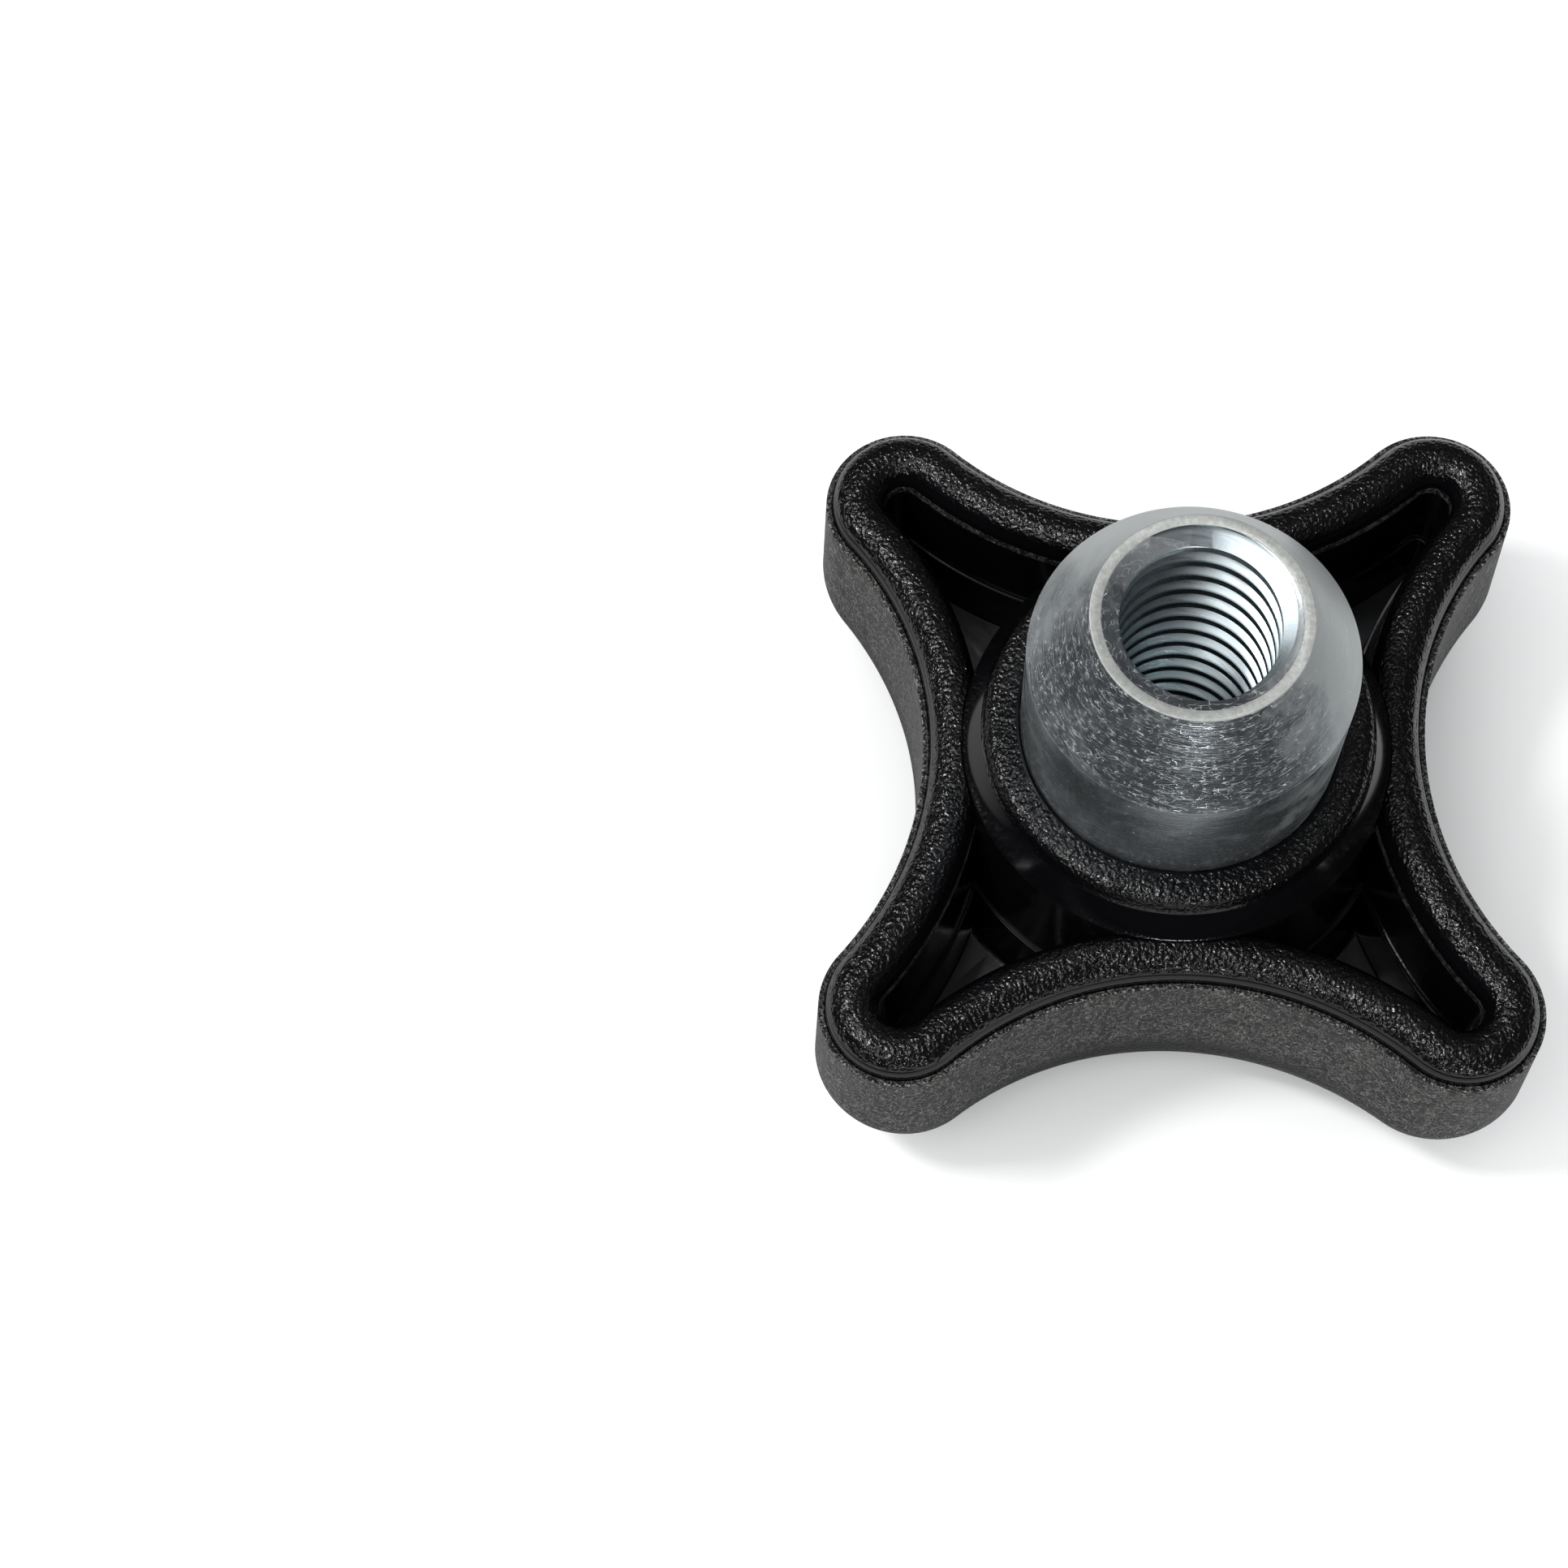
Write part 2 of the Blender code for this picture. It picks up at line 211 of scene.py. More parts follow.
def turned(name, profile, steps=TURNED_STEPS):
    """A closed turned solid from (radius, height) pairs in mm that start and end on the axis."""
    bm = bmesh.new()
    ends = [bm.verts.new((0.0, 0.0, z * MM)) for r, z in (profile[0], profile[-1])]
    rings = []
    for r, z in profile[1:-1]:
        rings.append([bm.verts.new((r * MM * math.cos(2 * math.pi * i / steps),
                                    r * MM * math.sin(2 * math.pi * i / steps), z * MM))
                      for i in range(steps)])
    for upper, lower in zip(rings, rings[1:]):
        for i in range(steps):
            j = (i + 1) % steps
            bm.faces.new((upper[i], lower[i], lower[j], upper[j]))
    for i in range(steps):
        j = (i + 1) % steps
        bm.faces.new((ends[0], rings[0][i], rings[0][j]))
        bm.faces.new((ends[1], rings[-1][j], rings[-1][i]))
    mesh = bpy.data.meshes.new(name)
    bm.to_mesh(mesh)
    bm.free()
    return link_object(name, mesh)


def rounded(profile, radii, steps=6):
    """Round chosen corners of a profile. radii maps a corner's number to its radius in mm."""
    result = []
    for k, point in enumerate(profile):
        if k not in radii:
            result.append(point)
            continue
        here = Vector(point)
        before = (Vector(profile[k - 1]) - here)
        after = (Vector(profile[k + 1]) - here)
        half = before.angle(after) / 2
        reach = radii[k] / math.tan(half)
        start = here + before.normalized() * reach
        end = here + after.normalized() * reach
        centre = here + (before.normalized() + after.normalized()).normalized() * radii[k] / math.sin(half)
        first = start - centre
        sweep = first.angle_signed(end - centre)
        for i in range(steps + 1):
            arm = first.copy()
            arm.rotate(Matrix.Rotation(-sweep * i / steps, 2))
            result.append(tuple(centre + arm))
    return result


def combine(piece, tool, operation):
    """Join or cut one closed solid with another, then remove the tool."""
    step = piece.modifiers.new("combine", "BOOLEAN")
    step.operation = operation
    step.solver = "MANIFOLD"
    step.object = tool
    graph = bpy.context.evaluated_depsgraph_get()
    mesh = bpy.data.meshes.new_from_object(piece.evaluated_get(graph))
    piece.modifiers.clear()
    piece.data = mesh
    bpy.data.objects.remove(tool)
    return len(mesh.polygons)


# %% [markdown]
# ## The head's outline
#
# Seen from above the head is a cross with round lobe ends and round grip hollows between
# them. Two kinds of arc make it: a small one round each lobe end and a large one in each
# hollow. They meet without a kink, so the whole outline can later be stepped inwards by
# changing only the two radii, which is how the mould maker draws the rim and the pocket.

# %% Outline
HEAD_SPAN = 63.9              # mm, across opposite lobe ends
LOBE_RADIUS = 5.55
WAIST_RADIUS = 17.25          # bottom of a grip hollow
HOLLOW_STEPS = 34
LOBE_STEPS = 22


def outline():
    """Points of the outline in mm, anticlockwise from the middle of the hollow on +X."""
    up = (HEAD_SPAN / 2 - LOBE_RADIUS) * math.sqrt(0.5)
    inner = WAIST_RADIUS - LOBE_RADIUS
    hollow_centre = (inner ** 2 - 2 * up ** 2) / (2 * (inner - up))
    hollow_radius = hollow_centre - WAIST_RADIUS
    meeting = math.atan2(up, hollow_centre - up)
    half = []
    for i in range(HOLLOW_STEPS):
        turn = math.pi - meeting * i / HOLLOW_STEPS
        half.append((hollow_centre + hollow_radius * math.cos(turn), hollow_radius * math.sin(turn)))
    for i in range(LOBE_STEPS + 1):
        turn = -meeting + (meeting + math.pi / 4) * i / LOBE_STEPS
        half.append((up + LOBE_RADIUS * math.cos(turn), up + LOBE_RADIUS * math.sin(turn)))
    side = half + [(y, x) for x, y in reversed(half[1:-1])]
    points = []
    for quarter in range(4):
        spin = Matrix.Rotation(quarter * math.pi / 2, 2)
        points += [tuple(spin @ Vector(p)) for p in side]
    return points


outline_points = outline()
print(len(outline_points), "outline points")

# %% [markdown]
# ## The head's wall, rim and pocket
#
# The dome's shoulder, the outer wall, the half-round rim and the pocket's stepped wall all
# follow the outline, so one profile swept along it makes them together. Geometry Nodes do
# the sweep with Curve to Mesh. Each profile point carries two numbers: how much of the dome's
# roundness it gets, and which finish it belongs to. The wall leans out a little on its way
# down, so that the head is widest at the shoulder.

# %% Wall profile
PARTING = 18.8                # height of the mould's parting line
SHOULDER = 5.0
FLARE = 0.45                  # the wall stands this much further out at the shoulder
LEDGE = 0.45
RIM_RADIUS = 1.85
STEP_DEPTH = 7.0
POCKET_DEPTH = 12.0
CROWN_RADIUS = 114.0          # the slight roundness of the whole dome
FLAT_RADIUS = 7.0             # but its middle is flat, and the nut stands on that
GRAINED, RIM, POCKET = 0, 1, 2

profile = []                  # (inset, height, share of the crown, finish)
for i in range(25):
    turn = math.radians(90 - 90 * i / 24)
    profile.append((SHOULDER * (1 - math.cos(turn)) - FLARE, SHOULDER * (1 - math.sin(turn)), 1.0,
                    GRAINED))
for i in range(1, 13):
    share = i / 12
    height = SHOULDER + (PARTING - 0.12 - SHOULDER) * share
    profile.append((-FLARE * (1 - share), height, (PARTING - height) / (PARTING - SHOULDER), GRAINED))
# a hair of flash stands up at the parting line, behind it lies the narrow ledge
profile += [
    (0.02, PARTING - 0.03, 0.0, GRAINED),
    (0.07, PARTING, 0.0, GRAINED),
    (0.12, PARTING - 0.02, 0.0, GRAINED),
    (0.20, PARTING - 0.05, 0.0, GRAINED),
    (LEDGE - 0.08, PARTING - 0.05, 0.0, GRAINED),
    (LEDGE - 0.03, PARTING - 0.14, 0.0, RIM),
    (LEDGE, PARTING - 0.05, 0.0, RIM),
]
for i in range(37):
    turn = math.pi * i / 36
    profile.append((LEDGE + RIM_RADIUS * (1 - math.cos(turn)), PARTING + RIM_RADIUS * math.sin(turn), 0.0,
                    RIM))
wall_top = LEDGE + 2 * RIM_RADIUS
for share in (0.1, 0.25, 0.5, 0.75, 0.9, 0.97):
    profile.append((wall_top + 0.5 * share, PARTING - STEP_DEPTH * share, 0.0, POCKET))
profile += [
    (wall_top + 0.50, PARTING - STEP_DEPTH + 0.05, 0.0, POCKET),
    (wall_top + 0.54, PARTING - STEP_DEPTH, 0.0, POCKET),
    (wall_top + 0.70, PARTING - STEP_DEPTH, 0.0, POCKET),
    (wall_top + 0.75, PARTING - STEP_DEPTH - 0.05, 0.0, POCKET),
    (wall_top + 0.85, PARTING - 0.75 * POCKET_DEPTH, 0.0, POCKET),
    (wall_top + 0.95, PARTING - POCKET_DEPTH + 0.3, 0.0, POCKET),
    (wall_top + 0.98, PARTING - POCKET_DEPTH + 0.08, 0.0, POCKET),
    (wall_top + 1.05, PARTING - POCKET_DEPTH, 0.0, POCKET),
]
print(len(profile), "profile points")


def edge_mesh(name, points, closed):
    """A chain of edges, which Geometry Nodes read as a curve."""
    pairs = [(i, i + 1) for i in range(len(points) - 1)]
    if closed:
        pairs.append((len(points) - 1, 0))
    mesh = bpy.data.meshes.new(name)
    mesh.from_pydata([[c * MM for c in p] for p in points], pairs, [])
    return mesh


# %% [markdown]
# The sweep's tree reads the profile from the object it sits on and the outline from another
# object. Curve to Mesh lays the profile across the outline, with Z Up normals so that it
# never rolls. Then every point is lifted by the dome's crown, which is the square of its
# distance from the axis over twice the crown's radius, less the flat middle.

# %% Materials, empty for now
finish_names = ("spark_eroded_nylon", "moulded_nylon_rim", "polished_nylon_pocket", "polished_nylon_floor")
nylon = {name: bpy.data.materials.new(name) for name in finish_names}
steel_names = ("zinc_plated_turned_steel", "zinc_plated_cut_thread")
steel = {name: bpy.data.materials.new(name) for name in steel_names}


def coat(mesh, finishes):
    """Give a mesh its finishes, always in the same order."""
    mesh.materials.clear()
    for material in finishes.values():
        mesh.materials.append(material)



# %% Sweep tree
sweep = bpy.data.node_groups.new("sweep_wall_along_outline", "GeometryNodeTree")
for name, kind, way in (("Geometry", "NodeSocketGeometry", "INPUT"),
                        ("Outline", "NodeSocketObject", "INPUT"),
                        ("Crown Radius", "NodeSocketFloat", "INPUT"),
                        ("Flat Radius", "NodeSocketFloat", "INPUT"),
                        ("Geometry", "NodeSocketGeometry", "OUTPUT")):
    sweep.interface.new_socket(name, in_out=way, socket_type=kind)
inputs = node(sweep, "NodeGroupInput")
path = node(sweep, "GeometryNodeObjectInfo", ("Object", inputs.outputs["Outline"]))
path_curve = node(sweep, "GeometryNodeMeshToCurve", ("Mesh", path.outputs["Geometry"]))
upright = node(sweep, "GeometryNodeSetCurveNormal", ("Curve", path_curve), mode="Z_UP")
across = node(sweep, "GeometryNodeMeshToCurve", ("Mesh", inputs))
skin = node(sweep, "GeometryNodeCurveToMesh", ("Curve", upright), ("Profile Curve", across))
position = node(sweep, "GeometryNodeInputPosition")
parts = node(sweep, "ShaderNodeSeparateXYZ", ("Vector", position.outputs["Position"]))
flat = node(sweep, "ShaderNodeCombineXYZ", ("X", parts.outputs["X"]), ("Y", parts.outputs["Y"]))
square = node(sweep, "ShaderNodeVectorMath", (0, flat), (1, flat), operation="DOT_PRODUCT")
twice = node(sweep, "ShaderNodeMath", (0, inputs.outputs["Crown Radius"]), (1, 2.0), operation="MULTIPLY")
flat_square = node(sweep, "ShaderNodeMath", (0, inputs.outputs["Flat Radius"]),
                   (1, inputs.outputs["Flat Radius"]), operation="MULTIPLY")
beyond = node(sweep, "ShaderNodeMath", (0, square.outputs["Value"]), (1, flat_square),
              operation="SUBTRACT")
beyond = node(sweep, "ShaderNodeMath", (0, beyond), (1, 0.0), operation="MAXIMUM")
crown = node(sweep, "ShaderNodeMath", (0, beyond), (1, twice), operation="DIVIDE")
share = node(sweep, "GeometryNodeInputNamedAttribute", ("Name", "crown_share"), data_type="FLOAT")
lift = node(sweep, "ShaderNodeMath", (0, crown), (1, share.outputs["Attribute"]), operation="MULTIPLY")
raise_by = node(sweep, "ShaderNodeCombineXYZ", ("Z", lift))
domed = node(sweep, "GeometryNodeSetPosition", ("Geometry", skin), ("Offset", raise_by))
real = node(sweep, "GeometryNodeRealizeInstances", ("Geometry", domed))
finish = node(sweep, "GeometryNodeInputNamedAttribute", ("Name", "finish"), data_type="FLOAT")
dressed = real.outputs["Geometry"]
for number, name in enumerate(finish_names[:3]):
    belongs = node(sweep, "FunctionNodeCompare", (0, finish.outputs["Attribute"]), (1, float(number)),
                   ("Epsilon", 0.4), data_type="FLOAT", operation="EQUAL")
    paint = node(sweep, "GeometryNodeSetMaterial", ("Geometry", dressed), ("Selection", belongs),
                 ("Material", nylon[name]))
    dressed = paint.outputs["Geometry"]
node(sweep, "NodeGroupOutput", ("Geometry", dressed))

# %% Sweep the wall
outline_object = link_object("outline_path",
                             edge_mesh("outline_path", [(x, y, 0.0) for x, y in outline_points], True))
profile_mesh = edge_mesh("wall_profile", [(-inset, -height, 0.0) for inset, height, _, _ in profile],
                         False)
for name, column in (("crown_share", 2), ("finish", 3)):
    layer = profile_mesh.attributes.new(name, "FLOAT", "POINT")
    for point, row in zip(layer.data, profile):
        point.value = row[column]
head = link_object("moulded_head", profile_mesh)


def set_input(modifier, tree, name, value):
    """Set a Geometry Nodes input by its socket's identifier."""
    sockets = [s for s in tree.interface.items_tree if s.in_out == "INPUT" and s.name == name]
    modifier[sockets[0].identifier] = value


sweep_step = head.modifiers.new("sweep", "NODES")
sweep_step.node_group = sweep
set_input(sweep_step, sweep, "Outline", outline_object)
set_input(sweep_step, sweep, "Crown Radius", CROWN_RADIUS * MM)
set_input(sweep_step, sweep, "Flat Radius", FLAT_RADIUS * MM)


def bake(piece):
    """Turn a piece with modifiers into a plain mesh."""
    graph = bpy.context.evaluated_depsgraph_get()
    mesh = bpy.data.meshes.new_from_object(piece.evaluated_get(graph))
    piece.modifiers.clear()
    piece.data = mesh
    return mesh


head_mesh = bake(head)
bpy.data.objects.remove(outline_object)
for word, end in (("from", min), ("to", max)):
    print("swept wall", word, [round(end(v.co[k] for v in head_mesh.vertices) / MM, 2) for k in range(3)])

# %% [markdown]
# The sweep is open at both ends: the dome is missing in front and the pocket floor behind.
# Both are closed with rings that shrink towards the axis. The dome's rings follow the same
# crown as the shoulder, so no edge shows where they meet.

# %% Close the dome and the floor
old_names = [m.name if m else "" for m in head_mesh.materials]
renumber = [finish_names.index(n) if n in finish_names else 0 for n in old_names]
bm = bmesh.new()
bm.from_mesh(head_mesh)
for face in bm.faces:
    face.material_index = renumber[face.material_index]
rim_edges = [e for e in bm.edges if len(e.link_faces) == 1]
dome_edges = [e for e in rim_edges if e.link_faces[0].material_index == GRAINED]
floor_edges = [e for e in rim_edges if e.link_faces[0].material_index == POCKET]


def close_with_rings(edges, shares, height_of, material):
    """Fill a loop with rings scaled towards the axis, then a fan."""
    here = {v: v for e in edges for v in e.verts}
    first = {v: v.co.copy() for v in here}
    made = []
    for share in shares:
        there = {v: bm.verts.new((p.x * share, p.y * share, height_of(p * share))) for v, p in first.items()}
        for e in edges:
            a, b = e.verts
            made.append(bm.faces.new((here[a], here[b], there[b], there[a])))
        here = there
    middle = bm.verts.new((0.0, 0.0, height_of(Vector((0.0, 0.0, 0.0)))))
    for e in edges:
        a, b = e.verts
        made.append(bm.faces.new((here[a], here[b], middle)))
    for face in made:
        face.material_index = material
    return len(made)


def crown_height(p):
    return max(0.0, p.x ** 2 + p.y ** 2 - (FLAT_RADIUS * MM) ** 2) / (2 * CROWN_RADIUS * MM)


DOME_SHARES = (0.96, 0.9, 0.8, 0.7, 0.6, 0.5, 0.4, 0.3, 0.2, 0.1)
dome_faces = close_with_rings(dome_edges, DOME_SHARES, crown_height, 0)
floor_faces = close_with_rings(floor_edges, (0.8, 0.5, 0.2), lambda p: (PARTING - POCKET_DEPTH) * MM, 3)
bmesh.ops.recalc_face_normals(bm, faces=bm.faces)
loose = sum(1 for e in bm.edges if len(e.link_faces) != 2)
volume = bm.calc_volume(signed=True) / MM ** 3
coat(head_mesh, nylon)
bm.to_mesh(head_mesh)
bm.free()
print("dome", dome_faces, "floor", floor_faces, "open edges", loose, "volume mm3", round(volume))

# %% [markdown]
# ## The hub
#
# The hub that grips the bush is turned: a flat textured ring, a rounded edge, a smooth cone
# that ends level with the rim, and a flank that goes down to the pocket floor with a little
# fillet. It is joined to the shell, then the seat for the bush is cut: a round bore, a
# narrower neck and a hexagon below it that stops the bush from turning.

# %% Hub
HUB_TOP = PARTING + 5.3
BUSH_RADIUS = 10.75
HUB_LIP = 0.05                # the moulding hugs the steel this closely
NECK_RADIUS = 9.0
NECK_TOP = PARTING + 2.0
HEX_TOP = NECK_TOP - 3.5
BUSH_BOTTOM = PARTING - 11.0
HEX_CORNER = BUSH_RADIUS

hub_profile = rounded([
    (0.0, HUB_TOP),
    (12.95, HUB_TOP),
    (13.2, PARTING + 4.15),
    (14.55, PARTING + 1.9),
    (15.3, PARTING - STEP_DEPTH),
    (15.55, PARTING - STEP_DEPTH),
    (16.2, PARTING - POCKET_DEPTH + 0.25),
    (16.6, PARTING - POCKET_DEPTH),
    (16.6, PARTING - POCKET_DEPTH - 1.5),
    (0.0, PARTING - POCKET_DEPTH - 1.5),
], {1: 0.75, 2: 0.4, 3: 0.22, 4: 0.06, 5: 0.06, 6: 0.2}, steps=8)
hub = turned("hub", hub_profile)
coat(hub.data, nylon)
for face in hub.data.polygons:
    face.material_index = 1 if face.center.z > (PARTING + 1.75) * MM else 2
print("join hub:", combine(head, hub, "UNION"), "faces")


def hexagon(name, corner, bottom, top):
    bm = bmesh.new()
    bmesh.ops.create_cone(bm, cap_ends=True, segments=6, radius1=corner * MM, radius2=corner * MM,
                          depth=(top - bottom) * MM)
    bmesh.ops.translate(bm, verts=bm.verts, vec=(0.0, 0.0, (top + bottom) / 2 * MM))
    mesh = bpy.data.meshes.new(name)
    bm.to_mesh(mesh)
    bm.free()
    return link_object(name, mesh)


bore = turned("bore", [
    (0.0, HUB_TOP + 1.0),
    (BUSH_RADIUS + HUB_LIP + 1.25, HUB_TOP + 1.0),
    (BUSH_RADIUS + HUB_LIP + 0.25, HUB_TOP),
    (BUSH_RADIUS + HUB_LIP + 0.07, HUB_TOP - 0.07),
    (BUSH_RADIUS + HUB_LIP, HUB_TOP - 0.25),
    (BUSH_RADIUS + HUB_LIP, NECK_TOP - HUB_LIP),
    (NECK_RADIUS + HUB_LIP, NECK_TOP - HUB_LIP),
    (NECK_RADIUS + HUB_LIP, HEX_TOP - 1.0),
    (0.0, HEX_TOP - 1.0),
])
for tool in (bore,
             hexagon("hexagon_seat", HEX_CORNER + HUB_LIP, BUSH_BOTTOM - HUB_LIP, HEX_TOP + HUB_LIP)):
    coat(tool.data, nylon)
    for face in tool.data.polygons:
        face.material_index = 2
    print("cut seat:", combine(head, tool, "DIFFERENCE"), "faces")

# %% [markdown]
# ## The bush
#
# The bush starts as a bar turned to a cylinder with a 60 degree conical nose and a flat end
# ring. The two corners of the nose get the small break a lathe hand leaves. The hexagon and the neck are
# the parts that the head grips, out of sight.

# %% Bush blank
END_FACE = PARTING + 22.3
NOSE_RADIUS = 7.05
SINK_RADIUS = 6.38
MINOR = 5.15
MAJOR = 6.35
nose_drop = (BUSH_RADIUS - NOSE_RADIUS) / math.tan(math.radians(30))
blank_profile = rounded([
    (0.0, END_FACE),
    (NOSE_RADIUS, END_FACE),
    (BUSH_RADIUS, END_FACE - nose_drop),
    (BUSH_RADIUS, NECK_TOP),
    (NECK_RADIUS, NECK_TOP),
    (NECK_RADIUS, BUSH_BOTTOM + 1.0),
    (0.0, BUSH_BOTTOM + 1.0),
], {1: 0.10, 2: 0.14}, steps=5)
bush = turned("conical_bush", blank_profile)
coat(bush.data, steel)
hexagon_blank = hexagon("hexagon_blank", HEX_CORNER, BUSH_BOTTOM, HEX_TOP)
coat(hexagon_blank.data, steel)
print("join hexagon:", combine(bush, hexagon_blank, "UNION"), "faces")

# %% [markdown]
# ## The threaded hole
#
# The hole is drilled to the thread's inner diameter, countersunk at 120 degrees, and tapped.
# A tap cuts a groove along a right-hand helix, so a Geometry Nodes tree sweeps the groove's
# trapezoid along a spiral. The spiral is reversed: its own way round climbs like a left-hand
# thread and turns the groove's wide side away from the hole. The groove runs out past the end
# face, so the countersink cuts across it and the first turn fades in as it does on real work.

# %% Drill
THREAD_START = BUSH_BOTTOM + 7.3
SINK_SLOPE = math.tan(math.radians(60))       # radius gained for each millimetre of height
sink_depth = (SINK_RADIUS - MINOR) / SINK_SLOPE
drill = turned("drill", [
    (0.0, END_FACE + 1.0),
    (SINK_RADIUS + SINK_SLOPE, END_FACE + 1.0),
    (SINK_RADIUS, END_FACE),
    (MINOR + 0.08, END_FACE - sink_depth),
    (MINOR, END_FACE - sink_depth - 0.12),
    (MINOR, THREAD_START - 2.0),
    (0.0, THREAD_START - 2.0 - MINOR / math.tan(math.radians(59))),
])
coat(drill.data, steel)
for face in drill.data.polygons:
    face.material_index = 1 if face.center.z < (END_FACE - 0.8) * MM else 0
print("drill:", combine(bush, drill, "DIFFERENCE"), "faces")

# %% Thread tree
THREAD_SIZES = {
    "Pitch": 25.4 / 12 * MM,
    "Turns": 13.0,
    "Middle Radius": 5.7 * MM,
    "Groove Depth": 1.3 * MM,
    "Root Width": 0.25 * MM,
    "Mouth Width": 1.52 * MM,
    "Start Height": THREAD_START * MM,
}
THREAD_STEPS = 96             # in one turn

tap = bpy.data.node_groups.new("thread_groove_along_helix", "GeometryNodeTree")
tap.interface.new_socket("Geometry", in_out="INPUT", socket_type="NodeSocketGeometry")
for name in THREAD_SIZES:
    tap.interface.new_socket(name, in_out="INPUT", socket_type="NodeSocketFloat")
tap.interface.new_socket("Steps Per Turn", in_out="INPUT", socket_type="NodeSocketInt")
tap.interface.new_socket("Geometry", in_out="OUTPUT", socket_type="NodeSocketGeometry")
given = node(tap, "NodeGroupInput").outputs
rise = node(tap, "ShaderNodeMath", (0, given["Pitch"]), (1, given["Turns"]), operation="MULTIPLY")
helix = node(tap, "GeometryNodeCurveSpiral", ("Resolution", given["Steps Per Turn"]),
             ("Rotations", given["Turns"]), ("Start Radius", given["Middle Radius"]),
             ("End Radius", given["Middle Radius"]), ("Height", rise), ("Reverse", True))
helix_up = node(tap, "GeometryNodeSetCurveNormal", ("Curve", helix), mode="Z_UP")
groove = node(tap, "GeometryNodeCurvePrimitiveQuadrilateral", ("Height", given["Groove Depth"]),
              ("Bottom Width", given["Root Width"]), ("Top Width", given["Mouth Width"]), ("Offset", 0.0),
              mode="TRAPEZOID")
lean = node(tap, "GeometryNodeTransform", ("Geometry", groove), ("Rotation", (0.0, 0.0, math.radians(90))))
cutter = node(tap, "GeometryNodeCurveToMesh", ("Curve", helix_up), ("Profile Curve", lean),
              ("Fill Caps", True))
height = node(tap, "ShaderNodeCombineXYZ", ("Z", given["Start Height"]))
placed = node(tap, "GeometryNodeTransform", ("Geometry", cutter), ("Translation", height))
solid = node(tap, "GeometryNodeRealizeInstances", ("Geometry", placed))
steely = node(tap, "GeometryNodeSetMaterial", ("Geometry", solid),
              ("Material", steel["zinc_plated_cut_thread"]))
node(tap, "NodeGroupOutput", ("Geometry", steely))

# %% Cut the thread
groove_object = link_object("thread_groove", bpy.data.meshes.new("thread_groove"))
thread_step = groove_object.modifiers.new("thread", "NODES")
thread_step.node_group = tap
for name, value in THREAD_SIZES.items():
    set_input(thread_step, tap, name, value)
set_input(thread_step, tap, "Steps Per Turn", THREAD_STEPS)
groove_mesh = bake(groove_object)
bm = bmesh.new()
bm.from_mesh(groove_mesh)
bmesh.ops.remove_doubles(bm, verts=bm.verts, dist=0.001 * MM)
bmesh.ops.recalc_face_normals(bm, faces=bm.faces)
open_edges = sum(1 for e in bm.edges if len(e.link_faces) != 2)
groove_volume = bm.calc_volume(signed=True) / MM ** 3
bm.to_mesh(groove_mesh)
bm.free()
radii = [math.hypot(v.co.x, v.co.y) / MM for v in groove_mesh.vertices]
heights = [v.co.z / MM for v in groove_mesh.vertices]
print("groove: open edges", open_edges, "volume", round(groove_volume, 1), "radius", round(min(radii), 2),
      round(max(radii), 2), "height", round(min(heights), 2), round(max(heights), 2))
coat(groove_mesh, steel)
for face in groove_mesh.polygons:
    face.material_index = 1
print("cut thread:", combine(bush, groove_object, "DIFFERENCE"), "faces")

# %% [markdown]
# ## Moulded black nylon
#
# The head is nylon with short glass fibres, dyed black. Its outside was moulded against
# spark-eroded steel, which leaves a fine pebbled grain about 0.3 mm across that catches the
# light as tiny bright squiggles. The wall lies in the direction the mould opens, so its
# grain is dragged into short fibrous streaks and looks greyer. Bump from noise on the
# piece's own millimetres makes both. The base colour is nearly black, and the eye mostly
# sees the reflections.

# %% Black nylon, grained outside


def start_material(material):
    """Empty a material and give it a shader, an output and its coordinates in mm."""
    material.use_nodes = True
    tree = material.node_tree
    tree.nodes.clear()
    shader = node(tree, "ShaderNodeBsdfPrincipled")
    node(tree, "ShaderNodeOutputMaterial", ("Surface", shader))
    place = node(tree, "ShaderNodeTexCoord")
    mm = node(tree, "ShaderNodeVectorMath", (0, place.outputs["Object"]), ("Scale", 1 / MM),
              operation="SCALE")
    return tree, shader, mm.outputs["Vector"]


